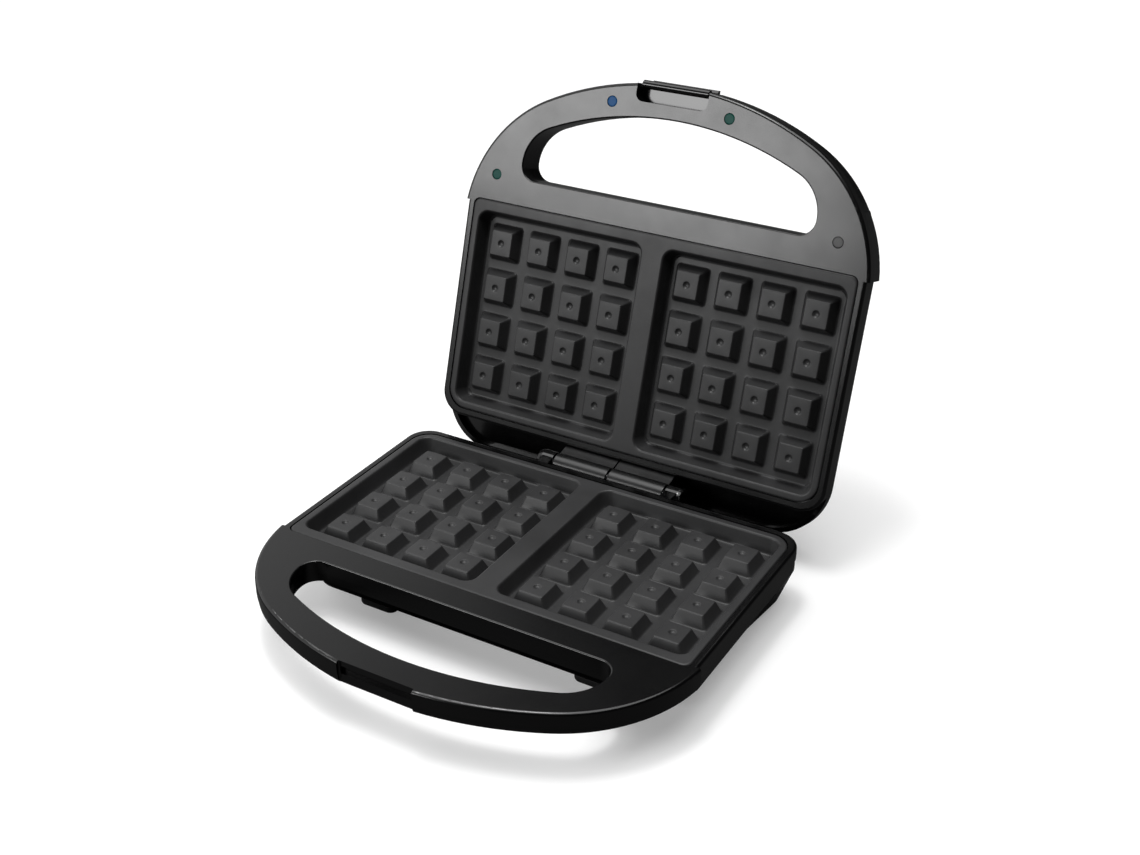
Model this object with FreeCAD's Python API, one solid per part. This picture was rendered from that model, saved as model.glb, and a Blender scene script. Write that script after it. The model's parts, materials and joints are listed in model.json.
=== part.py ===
import FreeCAD, Part
import math
import os

from FreeCAD import Vector

# Two-slice waffle maker, millimetres. X runs along the hinge, +X to the user's right.
# Y runs from the handle (-Y) to the hinge (+Y), +Z is up, and Z = 0 is the surface it stands on.
# The lid is drawn closed over the base and then swung open about the hinge, which is the rest pose.
# Both halves share one set of "half" functions: the lid is the same half, mirrored in the parting plane.

# ---------------------------------------------------------------- driving dimensions
# layout
front_row_y = -45.9            # front row of studs, so that the origin is under the middle of the open object
stud_top_z = 30.0
rim_z = 32.5                   # plate rim and handle face
closing_gap = 1.0              # between the two rims when shut
hinge_from_row = 107.4
hinge_z = 27.0
open_angle = 107.1             # degrees from shut to the rest pose

# waffle grid
pitch_x = 23.5
pitch_y = 24.5
columns = 4
rows = 4
inner_column_x = 20.5
stud_top = (12.6, 13.4)
stud_root = (18.0, 19.0)
stud_height = 6.2
stud_edge = 0.5                # chamfer round the top of each stud
dimple_radius = 1.9
dimple_depth = 0.9

# pockets and plate
pocket_inner_x = 6.2
pocket_outer_x = 105.6
pocket_margin_y = 16.2         # from the first and last row to the pocket's lip
pocket_radius = 6.0
pocket_draft = 2.2
plate_half_x = 109.6
plate_margin_front = 22.3
plate_margin_rear = 20.2
flange_thickness = 2.5
pan_inset = 3.0
pan_floor = 3.0
plate_front_radius = 4.0
plate_rear_radius = 11.0
pan_rear_radius = 9.0
plate_edge = 0.6               # chamfer round the plate's face
plate_screw_x = 20.0           # either side of the middle of each waffle
plate_screw_rows = (18.0, 55.0)  # behind the front row

# body shells
body_half_x = 113.6
body_margin_front = 22.5
body_margin_rear = 24.5
body_rear_radius = 13.0
body_front_radius = 3.0
seam_z = 25.6                  # where the bezel meets the lower shell
band_z = 19.5                  # where the straight band ends and the tapered tub starts
shell_bottom_z = 4.0
wall = 2.4
tub_front_half_x = 99.0
tub_rear_half_x = 110.4
tub_front_inset = 1.5
tub_rear_inset = 5.0
tub_radius = 14.0
ledge_thickness = 2.4
lid_overhang = 17.0            # the lid's shell reaches this far behind its bezel and covers the hinge
overhang_floor_z = 21.1        # floor of the trough inside that overhang

# handles
handle_half_x = 115.6
handle_reach = 74.5            # in front of the body
handle_front_radius = 165.0
handle_side_radius = 75.0
base_handle_bottom_z = 21.0
lid_handle_bottom_z = 14.5
hole_gap = 14.0                # bar between the body and the hole
hole_half_x = 83.0
hole_front_radius = 175.0
hole_end_radius = 22.0
hole_corner_radius = 8.3
hole_depth = 43.0
handle_wall = 2.2

seam_step = 0.4                # the lower shell sits back this far from the bezel
plate_gap = 0.35
bezel_edge_radius = 1.6
hole_edge_radius = 0.8
handle_under_radius = 1.8
tub_edge = 2.4

# screws and their bosses
boss_radius = 3.9
screw_radius = 1.5
screw_head_radius = 2.8
screw_head_height = 1.6
screw_head_sink = 0.8
screw_slot_half_width = 0.4
screw_slot_depth = 0.8
base_case_screws = ((36.0, 84.2), (97.0, 36.5))    # x, and distance in front of the front row
lid_case_screws = ((62.0, 76.5), (100.5, 50.0))

# heating parts
heater_radius = 3.2
heater_bend = 8.0
heater_gap = 0.1               # under the pan
heater_inner_offset = 4.5      # inside the inner column
heater_outer_offset = 3.0      # outside the outer column
heater_near_offset = 4.0       # behind the front row
heater_far_offset = 8.0        # behind the back row
heater_end_offset = 8.0        # the ends turn down this far in front of the back row
heater_hole_radius = 5.2
sheet = 0.6
reflector_half_x = 99.0
reflector_front_inset = 6.0
reflector_rear_inset = 8.0
reflector_front_radius = 6.0
reflector_rear_radius = 8.0
reflector_drop = 8.2           # from the pan's bottom to the reflector's floor
terminal_drop = 12.0
wire_radius = 1.1
wire_bend = 5.0
wire_tight_bend = 2.8
lead_rise = 1.2                # of the leads above the element's ends
lead_drop = 2.6                # of the low leads under the reflector
lamp_radius = 2.2
lamp_length = 5.8
lamp_gap = 0.2

# thermostat, thermal fuse and terminal block
thermostat_row = 26.0          # behind the front row
thermostat_radius = 8.0
thermostat_height = 4.6
tab_x = 9.5
tab_half = (2.5, 1.5)
tab_top_drop = 2.2
tab_thickness = 0.8
fuse_offset_x = 12.0           # from the inner column
fuse_radius = 1.9
fuse_length = 11.0
fuse_lead_radius = 0.6
fuse_lead_length = 6.0
block_half_x = 13.0
block_half_y = 6.0
block_inset = 24.0             # from the body's rear
block_gap = 0.4
clamp_radius = 1.6
clamp_pitch = 8.0
clamp_depth = 2.0

# mains lead inlet
bushing_x = 66.0
bushing_z = 13.0
bushing_radius = 4.5
bushing_flange_radius = 6.2
bushing_bore_radius = 3.4
bushing_length = 12.0
bushing_lip = 1.6
bushing_boss_wall = 1.5
bushing_boss_length = 8.0

# hinge
barrel_radius = 6.0
barrel_half_length = 32.5
barrel_split = 0.45
pin_radius = 3.0
pin_bore_radius = 3.05
pin_tube_radius = 2.0
knuckle_start_x = 33.3
knuckle_length = 6.4
hinge_screw_z = 22.6
hinge_screw_proud = 3.6
lead_radius = 0.85
lead_half_gap = 0.95
web_rise = 4.2                 # of the lid's web, up the back of its shell

# latch
latch_x = -3.2                 # middle of the latch
recess_half_x = 20.0
recess_depth = 10.5
recess_back = 8.0
latch_half_x = 18.6
latch_wall_inset = 3.3         # flat wall behind the latch, from the handle's front edge
latch_axis_inset = 1.9
latch_axis_height = 4.5        # above the lid's face, into the handle
latch_barrel_radius = 2.2
latch_plate = 1.8
latch_reach = 12.0
latch_hook = 1.5
latch_hook_height = 3.2
latch_pin_radius = 0.8
latch_bore_radius = 0.85
pocket_overrun = 6.0           # the latch pocket's cutter reaches this far in front of the handle
recess_corner_radius = 4.0
channel_corner_radius = 0.8
hook_slot_side = 0.5
hook_slot_depth = 1.7
hook_slot_below = 0.4

# feet
foot_size = (21.0, 14.0)
foot_radius = 4.0
front_foot = (60.5, -12.6)     # x, and y from the front row
rear_foot = (91.0, 84.0)
foot_stem_radius = 2.6
foot_stem_height = 5.0

# indicator lenses in the lid's handle face: x, and distance in front of the front row
lens_radius = 2.9
lens_depth = 3.2
lens_hole_depth = 6.0
lens_sink = 0.15
lens_edge_radius = 0.7
blue_lens = (-36.0, 84.2)
green_lenses = ((29.5, 85.2), (-98.0, 36.5))
grey_plug = (96.0, 36.5)

# ---------------------------------------------------------------- derived places
hinge_y = front_row_y + hinge_from_row
back_row_y = front_row_y + (rows - 1) * pitch_y
parting_z = rim_z + closing_gap / 2.0
body_front_y = front_row_y - body_margin_front
body_rear_y = back_row_y + body_margin_rear
plate_front_y = front_row_y - plate_margin_front
plate_rear_y = back_row_y + plate_margin_rear
pocket_front_y = front_row_y - pocket_margin_y
pocket_rear_y = back_row_y + pocket_margin_y
floor_z = stud_top_z - stud_height
pan_bottom_z = floor_z - pan_floor
heater_z = pan_bottom_z - heater_radius - heater_gap
reflector_z = pan_bottom_z - reflector_drop
terminal_z = pan_bottom_z - terminal_drop
heater_end_x = inner_column_x - heater_inner_offset
heater_end_y = back_row_y - heater_end_offset
thermostat_y = front_row_y + thermostat_row
fuse_x = inner_column_x + fuse_offset_x
lead_z = terminal_z + lead_rise
low_lead_z = reflector_z - lead_drop
block_y = body_rear_y - block_inset
handle_front_y = body_front_y - handle_reach
ledge_z = rim_z - flange_thickness
outer_column_x = inner_column_x + (columns - 1) * pitch_x
hole_rear_y = body_front_y - hole_gap
latch_axis_y = handle_front_y + latch_axis_inset
latch_wall_y = handle_front_y + latch_wall_inset


# ---------------------------------------------------------------- geometry helpers
def rounded_corner(before, corner, after, radius):
    """Start, middle and end of the tangent arc that rounds one corner."""
    to_before = (before - corner).normalize()
    to_after = (after - corner).normalize()
    half = to_before.getAngle(to_after) / 2.0
    reach = radius / math.tan(half)
    inward = (to_before + to_after).normalize()
    centre = corner + inward * (radius / math.sin(half))
    return corner + to_before * reach, centre - inward * radius, corner + to_after * reach


def join_edges(pieces):
    """One wire from straight gaps and arcs, given as (start, middle, end) triples."""
    edges = []
    for index, (start, middle, end) in enumerate(pieces):
        edges.append(Part.Arc(start, middle, end).toShape())
        following = pieces[(index + 1) % len(pieces)][0]
        if end.distanceToPoint(following) > 1e-6:
            edges.append(Part.LineSegment(end, following).toShape())
    return Part.Wire(edges)


def rounded_polygon(corners, z):
    """Closed wire at height z from (x, y, radius) corners."""
    points = [Vector(x, y, z) for x, y, _ in corners]
    pieces = []
    for index, (_, _, radius) in enumerate(corners):
        after = points[(index + 1) % len(points)]
        pieces.append(rounded_corner(points[index - 1], points[index], after, radius))
    return join_edges(pieces)


def rounded_box_wire(half_x, y0, y1, front_radius, rear_radius, z):
    corners = [(-half_x, y0, front_radius), (half_x, y0, front_radius),
               (half_x, y1, rear_radius), (-half_x, y1, rear_radius)]
    return rounded_polygon(corners, z)


def rectangle_wire(x0, x1, y0, y1, z):
    points = [Vector(x0, y0, z), Vector(x1, y0, z), Vector(x1, y1, z), Vector(x0, y1, z)]
    return Part.makePolygon(points + points[:1])


def prism(wire, height):
    return Part.Face(wire).extrude(Vector(0, 0, height))


def loft(wires):
    return Part.makeLoft(wires, True, True)


def box(x0, x1, y0, y1, z0, z1):
    return Part.makeBox(x1 - x0, y1 - y0, z1 - z0, Vector(x0, y0, z0))


def rod(radius, start, end):
    along = end - start
    return Part.makeCylinder(radius, along.Length, start, along)


def rod_x(radius, x0, x1, y, z):
    return rod(radius, Vector(x0, y, z), Vector(x1, y, z))


def rod_z(radius, x, y, z0, z1):
    return rod(radius, Vector(x, y, z0), Vector(x, y, z1))


def route_tube(points, bend_radius, radius):
    """Round tube along straight runs joined by tangent arcs."""
    places = [Vector(*point) for point in points]
    edges = []
    start = places[0]
    for before, corner, after in zip(places, places[1:], places[2:]):
        arc_start, middle, arc_end = rounded_corner(before, corner, after, bend_radius)
        edges.append(Part.LineSegment(start, arc_start).toShape())
        edges.append(Part.Arc(arc_start, middle, arc_end).toShape())
        start = arc_end
    edges.append(Part.LineSegment(start, places[-1]).toShape())
    path = Part.Wire(edges)
    section = Part.Wire(Part.makeCircle(radius, places[0], places[1] - places[0]))
    return path.makePipeShell([section], True, False)


def merge(shapes):
    return shapes[0].multiFuse(shapes[1:]).removeSplitter()


def profile_x(points, x0, x1):
    """Slab between x0 and x1 whose outline is given in (y, z)."""
    corners = [Vector(x0, y, z) for y, z in points]
    face = Part.Face(Part.makePolygon(corners + corners[:1]))
    return face.extrude(Vector(x1 - x0, 0, 0))


def mirrored_in_x(shape):
    return shape.mirror(Vector(0, 0, 0), Vector(1, 0, 0))


def both_sides(shape):
    return [shape, mirrored_in_x(shape)]


def lid_half(shape):
    """A shape drawn as a base half, turned into the lid's half and swung open."""
    turned = shape.mirror(Vector(0, 0, parting_z), Vector(0, 0, 1))
    return swing_open(turned)


def swing_open(shape):
    opened = shape.copy()
    opened.rotate(Vector(0, hinge_y, hinge_z), Vector(1, 0, 0), -open_angle)
    return opened


def edges_at_height(shape, z):
    return [edge for edge in shape.Edges
            if abs(edge.BoundBox.ZMin - z) < 1e-4 and abs(edge.BoundBox.ZMax - z) < 1e-4]


def front_edges_at_height(shape, z):
    """Edges at height z, without the straight one where a handle joins the body."""
    return [edge for edge in edges_at_height(shape, z) if edge.CenterOfMass.y < body_front_y + 1.0]


# ---------------------------------------------------------------- outlines
def handle_outline(half_x, inset, rear_y, z):
    """D outline of a handle, closed by a straight line at rear_y, made of three tangent arcs."""
    side_radius = handle_side_radius - inset
    front_radius = handle_front_radius - inset
    side_x = half_x - handle_side_radius
    front_centre_y = handle_front_y + handle_front_radius
    rise = math.sqrt((handle_front_radius - handle_side_radius) ** 2 - side_x ** 2)
    side_y = front_centre_y - rise
    lean = math.atan2(side_x, rise)
    join = Vector(side_x + side_radius * math.sin(lean), side_y - side_radius * math.cos(lean), z)
    start = Vector(side_x + math.sqrt(side_radius ** 2 - (rear_y - side_y) ** 2), rear_y, z)
    start_angle = math.atan2(rear_y - side_y, start.x - side_x)
    middle_angle = (start_angle + lean - math.pi / 2.0) / 2.0
    middle = Vector(side_x + side_radius * math.cos(middle_angle),
                    side_y + side_radius * math.sin(middle_angle), z)
    front = Vector(0, front_centre_y - front_radius, z)

    def flip(point):
        return Vector(-point.x, point.y, point.z)

    edges = [Part.Arc(start, middle, join).toShape(),
             Part.Arc(join, front, flip(join)).toShape(),
             Part.Arc(flip(join), flip(middle), flip(start)).toShape(),
             Part.LineSegment(flip(start), start).toShape()]
    return Part.Wire(edges)


def hole_outline(outset, z):
    """Finger hole of a handle: a shallow arch over a straight rear edge, with round ends."""
    front_radius = hole_front_radius + outset
    end_radius = hole_end_radius + outset
    corner_radius = hole_corner_radius + outset
    rear_y = hole_rear_y + outset
    front_centre_y = hole_rear_y - hole_depth + hole_front_radius
    end_x = hole_half_x - hole_end_radius
    rise = math.sqrt((hole_front_radius - hole_end_radius) ** 2 - end_x ** 2)
    end_y = front_centre_y - rise
    lean = math.atan2(end_x, rise)
    join = Vector(end_x + end_radius * math.sin(lean), end_y - end_radius * math.cos(lean), z)
    side = Vector(end_x + end_radius, end_y, z)
    end_angle = (lean - math.pi / 2.0) / 2.0
    end_middle = Vector(end_x + end_radius * math.cos(end_angle),
                        end_y + end_radius * math.sin(end_angle), z)
    corner_x = side.x - corner_radius
    corner_y = rear_y - corner_radius
    corner_side = Vector(side.x, corner_y, z)
    diagonal = corner_radius * math.sqrt(0.5)
    corner_middle = Vector(corner_x + diagonal, corner_y + diagonal, z)
    corner_rear = Vector(corner_x, rear_y, z)
    front = Vector(0, front_centre_y - front_radius, z)

    def flip(point):
        return Vector(-point.x, point.y, point.z)

    right = [Part.LineSegment(corner_side, side).toShape(),
             Part.Arc(corner_rear, corner_middle, corner_side).toShape(),
             Part.Arc(side, end_middle, join).toShape()]
    left = [Part.LineSegment(flip(corner_side), flip(side)).toShape(),
            Part.Arc(flip(corner_rear), flip(corner_middle), flip(corner_side)).toShape(),
            Part.Arc(flip(side), flip(end_middle), flip(join)).toShape()]
    bars = [Part.Arc(join, front, flip(join)).toShape(),
            Part.LineSegment(flip(corner_rear), corner_rear).toShape()]
    return Part.Wire(Part.__sortEdges__(right + left + bars))


def body_wire(half_x, inset, z, overhang=0.0):
    return rounded_box_wire(half_x - inset, body_front_y + inset, body_rear_y + overhang - inset,
                            body_front_radius, body_rear_radius + overhang - inset, z)


def tub_wire(inset, z, overhang):
    front_y = body_front_y + tub_front_inset + inset
    rear_y = body_rear_y - tub_rear_inset + overhang - inset
    front_x = tub_front_half_x - inset
    rear_x = tub_rear_half_x - inset
    front_radius = tub_radius - inset
    rear_radius = tub_radius + overhang - inset
    corners = [(-front_x, front_y, front_radius), (front_x, front_y, front_radius),
               (rear_x, rear_y, rear_radius), (-rear_x, rear_y, rear_radius)]
    return rounded_polygon(corners, z)


def tub_top_wire(half_x, inset, z, overhang):
    return rounded_box_wire(half_x - inset, body_front_y + inset, body_rear_y + overhang - inset,
                            tub_radius - inset, tub_radius + overhang - inset, z)


# ---------------------------------------------------------------- plates
def stud(x, y):
    """One tapered stud with a chamfered top edge and a round dimple."""
    levels = [(stud_root, floor_z - 0.4),
              (stud_top, stud_top_z - stud_edge)]
    wires = []
    for (width, depth), z in levels:
        wires.append(rectangle_wire(x - width / 2, x + width / 2, y - depth / 2, y + depth / 2, z))
    body = loft(wires)
    lower = wires[-1]
    width = stud_top[0] - 2 * stud_edge
    depth = stud_top[1] - 2 * stud_edge
    upper = rectangle_wire(x - width / 2, x + width / 2, y - depth / 2, y + depth / 2, stud_top_z)
    crown = loft([lower, upper])
    dimple = Part.makeCone(dimple_radius * 0.7, dimple_radius, dimple_depth,
                           Vector(x, y, stud_top_z - dimple_depth))
    return body.fuse(crown).cut(dimple)


def pocket(side):
    """Space of one waffle, from the rim down to the pocket floor."""
    wires = []
    for inset, z in ((pocket_draft, floor_z), (0.0, rim_z + 0.01)):
        x0 = pocket_inner_x + inset
        x1 = pocket_outer_x - inset
        y0 = pocket_front_y + inset
        y1 = pocket_rear_y - inset
        radius = pocket_radius - inset / 2
        corners = [(x0, y0, radius), (x1, y0, radius), (x1, y1, radius), (x0, y1, radius)]
        wires.append(rounded_polygon([(side * x, y, r) for x, y, r in corners], z))
    return loft(wires)


def waffle_plate():
    flange = prism(rounded_box_wire(plate_half_x, plate_front_y, plate_rear_y,
                                    plate_front_radius, plate_rear_radius, ledge_z), flange_thickness)
    pan_half_x = plate_half_x - pan_inset
    pan = prism(rounded_box_wire(pan_half_x, plate_front_y + pan_inset, plate_rear_y - pan_inset,
                                 plate_front_radius, pan_rear_radius, pan_bottom_z),
                ledge_z - pan_bottom_z)
    plate = flange.fuse(pan)
    plate = plate.makeChamfer(plate_edge, edges_at_height(plate, rim_z))
    studs = []
    for side in (-1, 1):
        plate = plate.cut(pocket(side))
        for column in range(columns):
            for row in range(rows):
                x = side * (inner_column_x + column * pitch_x)
                studs.append(stud(x, front_row_y + row * pitch_y))
    plate = merge([plate] + studs)
    boss_z = reflector_z + sheet
    bosses = [rod_z(boss_radius, x, y, boss_z, pan_bottom_z + 0.5) for x, y in plate_screw_places()]
    bores = [rod_z(screw_radius, x, y, boss_z, pan_bottom_z - 0.5) for x, y in plate_screw_places()]
    return merge([plate] + bosses).cut(Part.makeCompound(bores))


def plate_screw_places():
    middle_x = inner_column_x + 1.5 * pitch_x
    row_near, row_far = plate_screw_rows
    near = (middle_x - plate_screw_x, front_row_y + row_near)
    far = (middle_x + plate_screw_x, front_row_y + row_far)
    return [(side * x, y) for side in (-1, 1) for x, y in (near, far)]


# ---------------------------------------------------------------- shells, drawn as a base half
def ring(half_x, inset, rear_y, z0, z1):
    """Handle loop between two heights, without the rest of the body."""
    outer = prism(handle_outline(half_x, inset, rear_y, z0), z1 - z0)
    return outer.cut(prism(hole_outline(inset, z0 - 1.0), z1 - z0 + 2.0))


def ring_hollow(half_x, z0, z1, pocket_y):
    """Space inside the handle loop, kept clear of the latch pocket and its walls."""
    hollow = ring(half_x, handle_wall + seam_step, body_front_y - handle_wall, z0, z1)
    guard_half_x = recess_half_x + handle_wall
    guard = box(latch_x - guard_half_x, latch_x + guard_half_x,
                handle_front_y - 1.0, pocket_y + handle_wall * 1.8, z0 - 1.0, z1 + 1.0)
    return hollow.cut(guard)


def pocket_prism(y_back, corner, z0, z1):
    """Latch pocket, open towards the front, with round inner corners."""
    y_front = handle_front_y - pocket_overrun
    x0 = latch_x - recess_half_x
    x1 = latch_x + recess_half_x
    corners = [(x0, y_front, 1.0), (x1, y_front, 1.0), (x1, y_back, corner), (x0, y_back, corner)]
    return prism(rounded_polygon(corners, z0), z1 - z0)


def bezel(half_x, handle_half, pocket_y):
    """Handle face and the frame round the plate, in one moulding."""
    height = rim_z - seam_z
    frame = prism(body_wire(half_x, 0.0, seam_z), height)
    frame = frame.makeFillet(bezel_edge_radius, edges_at_height(frame, rim_z))
    loop = prism(handle_outline(handle_half, 0.0, body_front_y + 2.0, seam_z), height)
    loop = loop.makeFillet(bezel_edge_radius, front_edges_at_height(loop, rim_z))
    solid = merge([frame, loop])
    solid = solid.cut(prism(hole_outline(0.0, seam_z - 1.0), height + 2.0))
    hole_edges = [edge for edge in edges_at_height(solid, rim_z)
                  if abs(edge.CenterOfMass.x) < hole_half_x + 1.0
                  and handle_front_y + 5.0 < edge.CenterOfMass.y < hole_rear_y + 1.0]
    solid = solid.makeFillet(hole_edge_radius, hole_edges)
    opening = prism(rounded_box_wire(plate_half_x + plate_gap, plate_front_y - plate_gap,
                                     plate_rear_y + plate_gap, plate_front_radius, plate_rear_radius,
                                     ledge_z), 10.0)
    pan_half_x = plate_half_x - pan_inset + plate_gap
    throat = prism(rounded_box_wire(pan_half_x, plate_front_y + pan_inset - plate_gap,
                                    plate_rear_y - pan_inset + plate_gap, plate_front_radius,
                                    pan_rear_radius, seam_z - 1.0), 10.0)
    inside = prism(rounded_box_wire(half_x - wall, body_front_y + wall, body_rear_y - wall,
                                    plate_front_radius, body_rear_radius - wall, seam_z - 1.0),
                   ledge_z - ledge_thickness - seam_z + 1.0)
    hollow = ring_hollow(handle_half, seam_z - 1.0, rim_z - handle_wall, pocket_y)
    return solid.cut(Part.makeCompound([opening, throat])).cut(inside).cut(hollow)


def shell(half_x, handle_half, handle_bottom_z, pocket_y, overhang):
    """Outer tub of a half, with the outer half of its handle loop."""
    band = prism(body_wire(half_x, seam_step, band_z, overhang), seam_z - band_z)
    edge_rise = 0.3 * tub_edge
    tub = loft([tub_wire(tub_edge, shell_bottom_z, overhang),
                tub_wire(edge_rise, shell_bottom_z + edge_rise, overhang),
                tub_wire(0.0, shell_bottom_z + tub_edge, overhang),
                tub_top_wire(half_x, seam_step, band_z, overhang)])
    loop = prism(handle_outline(handle_half, seam_step, body_front_y + 2.0, handle_bottom_z),
                 seam_z - handle_bottom_z)
    loop = loop.makeFillet(handle_under_radius, front_edges_at_height(loop, handle_bottom_z))
    loop = loop.cut(prism(hole_outline(seam_step, handle_bottom_z - 1.0), seam_z - handle_bottom_z + 2.0))
    solid = merge([band, tub, loop])
    inner_tub = loft([tub_wire(wall, shell_bottom_z + wall, overhang),
                      tub_top_wire(half_x, seam_step + wall, band_z, overhang)])
    inner_band = prism(body_wire(half_x, seam_step + wall, band_z), seam_z - band_z + 1.0)
    hollow = ring_hollow(handle_half, handle_bottom_z + handle_wall, seam_z + 1.0, pocket_y)
    solid = solid.cut(inner_tub.fuse(inner_band)).cut(hollow)
    if overhang:
        solid = solid.cut(overhang_trough(half_x, overhang))
    return solid


def overhang_trough(half_x, overhang):
    """Open trough behind the bezel, which the hinge web comes out of."""
    height = seam_z - overhang_floor_z + 1.0
    trough = prism(body_wire(half_x, seam_step + wall, overhang_floor_z, overhang), height)
    return trough.cut(prism(body_wire(half_x, seam_step, overhang_floor_z - 1.0), height + 2.0))


def screw_boss(x, y, z0, z1):
    return rod_z(boss_radius, x, y, z0, z1)


def case_screw(x, y, handle_bottom_z):
    """Pan-head screw, head sunk in the back of the handle."""
    head_bottom = handle_bottom_z + screw_head_sink
    head_top = head_bottom + screw_head_height
    head = rod_z(screw_head_radius, x, y, head_bottom, head_top)
    shank = rod_z(screw_radius, x, y, head_top, rim_z - handle_wall - 1.0)
    slot = box(x - screw_head_radius, x + screw_head_radius, y - screw_slot_half_width,
               y + screw_slot_half_width, handle_bottom_z, head_bottom + screw_slot_depth)
    return head.fuse(shank).cut(slot)


def case_screw_places(quarter):
    """Both sides of a list of (x, distance in front of the front row)."""
    return [(side * x, front_row_y - y) for side in (-1, 1) for x, y in quarter]


def fitted_case(half_x, handle_half, handle_bottom_z, pocket_y, overhang, screw_places):
    """Bezel, shell and their screws, with bosses and screw holes."""
    upper = bezel(half_x, handle_half, pocket_y)
    lower = shell(half_x, handle_half, handle_bottom_z, pocket_y, overhang)
    screws = [case_screw(x, y, handle_bottom_z) for x, y in screw_places]
    upper = merge([upper] + [screw_boss(x, y, seam_z, rim_z - handle_wall + 0.2) for x, y in screw_places])
    lower = merge([lower] + [screw_boss(x, y, handle_bottom_z + 1.0, seam_z) for x, y in screw_places])
    sinks = [rod_z(screw_head_radius, x, y, handle_bottom_z - 1.0,
                   handle_bottom_z + screw_head_sink + screw_head_height) for x, y in screw_places]
    bores = [rod_z(screw_radius, x, y, handle_bottom_z, rim_z - handle_wall - 1.0) for x, y in screw_places]
    upper = upper.cut(Part.makeCompound(bores))
    lower = lower.cut(Part.makeCompound(bores)).cut(Part.makeCompound(sinks))
    return upper, lower, Part.makeCompound(screws)


# ---------------------------------------------------------------- heating parts, drawn as a base half
def heater():
    """Tubular element: one loop round both waffles, with its ends bent down through the reflector."""
    outer_x = outer_column_x + heater_outer_offset
    near_y = front_row_y + heater_near_offset
    far_y = back_row_y + heater_far_offset
    x = heater_end_x
    y = heater_end_y
    z = heater_z
    points = [(-x, y, terminal_z), (-x, y, z), (-x, near_y, z), (-outer_x, near_y, z),
              (-outer_x, far_y, z), (outer_x, far_y, z), (outer_x, near_y, z), (x, near_y, z),
              (x, y, z), (x, y, terminal_z)]
    return route_tube(points, heater_bend, heater_radius)


def reflector_wire(inset, z):
    return rounded_box_wire(reflector_half_x - inset, plate_front_y + reflector_front_inset + inset,
                            plate_rear_y - reflector_rear_inset - inset,
                            reflector_front_radius - inset, reflector_rear_radius - inset, z)


def reflector():
    """Sheet-metal tray under the element."""
    outer = prism(reflector_wire(0.0, reflector_z), pan_bottom_z - reflector_z)
    inner = prism(reflector_wire(sheet, reflector_z + sheet), pan_bottom_z)
    holes = [rod_z(heater_hole_radius, side * heater_end_x, heater_end_y, reflector_z - 1.0,
                   reflector_z + 2.0) for side in (-1, 1)]
    holes += [rod_z(screw_radius, x, y, reflector_z - 1.0, reflector_z + 2.0)
              for x, y in plate_screw_places()]
    return outer.cut(inner).cut(Part.makeCompound(holes))


def plate_screws():
    """Screws that hold plate, element and reflector together."""
    screws = []
    for x, y in plate_screw_places():
        head = rod_z(screw_head_radius, x, y, reflector_z - screw_head_height, reflector_z)
        screws.append(head.fuse(rod_z(screw_radius, x, y, reflector_z, pan_bottom_z - 0.5)))
    return Part.makeCompound(screws)


def thermostat():
    """Bimetal disc thermostat under the reflector, with two tabs."""
    y = thermostat_y
    can = rod_z(thermostat_radius, 0.0, y, reflector_z - thermostat_height, reflector_z)
    half_x, half_y = tab_half
    top_z = reflector_z - tab_top_drop
    tabs = [box(side * tab_x - half_x, side * tab_x + half_x, y - half_y, y + half_y,
                top_z - tab_thickness, top_z) for side in (-1, 1)]
    return merge([can] + tabs)


def thermal_fuse():
    """Thermal cut-out in line with the element's lead."""
    capsule = rod_x(fuse_radius, fuse_x, fuse_x + fuse_length, heater_end_y, lead_z)
    leads = rod_x(fuse_lead_radius, fuse_x - fuse_lead_length,
                  fuse_x + fuse_length + fuse_lead_length, heater_end_y, lead_z)
    return merge([capsule, leads])


# ---------------------------------------------------------------- base-only parts
def base_case():
    upper, lower, screws = fitted_case(body_half_x, handle_half_x, base_handle_bottom_z,
                                       latch_wall_y, 0.0, case_screw_places(base_case_screws))
    notch = pocket_prism(latch_wall_y, channel_corner_radius, base_handle_bottom_z - 1.0, rim_z + 1.0)
    slot_z = parting_z + closing_gap / 2.0 + latch_axis_height - latch_reach
    slot_half_x = latch_half_x + hook_slot_side
    slot = box(latch_x - slot_half_x, latch_x + slot_half_x, latch_wall_y - 1.0, latch_wall_y + hook_slot_depth,
               slot_z - hook_slot_below, slot_z + latch_hook_height + hook_slot_side)
    upper = upper.cut(notch).cut(slot)
    lower = lower.cut(notch)
    stems = [rod_z(foot_stem_radius, x, y, 0.0, 12.0) for x, y in foot_places()]
    boss = rod(bushing_flange_radius + bushing_boss_wall,
               Vector(bushing_x, body_rear_y - bushing_boss_length, bushing_z),
               Vector(bushing_x, body_rear_y - seam_step, bushing_z))
    bore = rod(bushing_radius, Vector(bushing_x, body_rear_y - 20.0, bushing_z),
               Vector(bushing_x, body_rear_y + 5.0, bushing_z))
    lower = merge([lower, boss]).cut(bore).cut(Part.makeCompound(stems + hinge_screw_rods(screw_radius)))
    return upper, lower, screws


def foot_places():
    places = []
    for x, y in (front_foot, rear_foot):
        places += [(-x, front_row_y + y), (x, front_row_y + y)]
    return places


def rubber_feet():
    feet = []
    width, depth = foot_size
    for x, y in foot_places():
        corners = [(x - width / 2, y - depth / 2, foot_radius), (x + width / 2, y - depth / 2, foot_radius),
                   (x + width / 2, y + depth / 2, foot_radius), (x - width / 2, y + depth / 2, foot_radius)]
        pad = prism(rounded_polygon(corners, 0.0), shell_bottom_z)
        pad = pad.makeChamfer(0.8, edges_at_height(pad, 0.0))
        stem = rod_z(foot_stem_radius, x, y, shell_bottom_z - 0.5, shell_bottom_z + foot_stem_height)
        feet.append(pad.fuse(stem).removeSplitter())
    return Part.makeCompound(feet)


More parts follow.
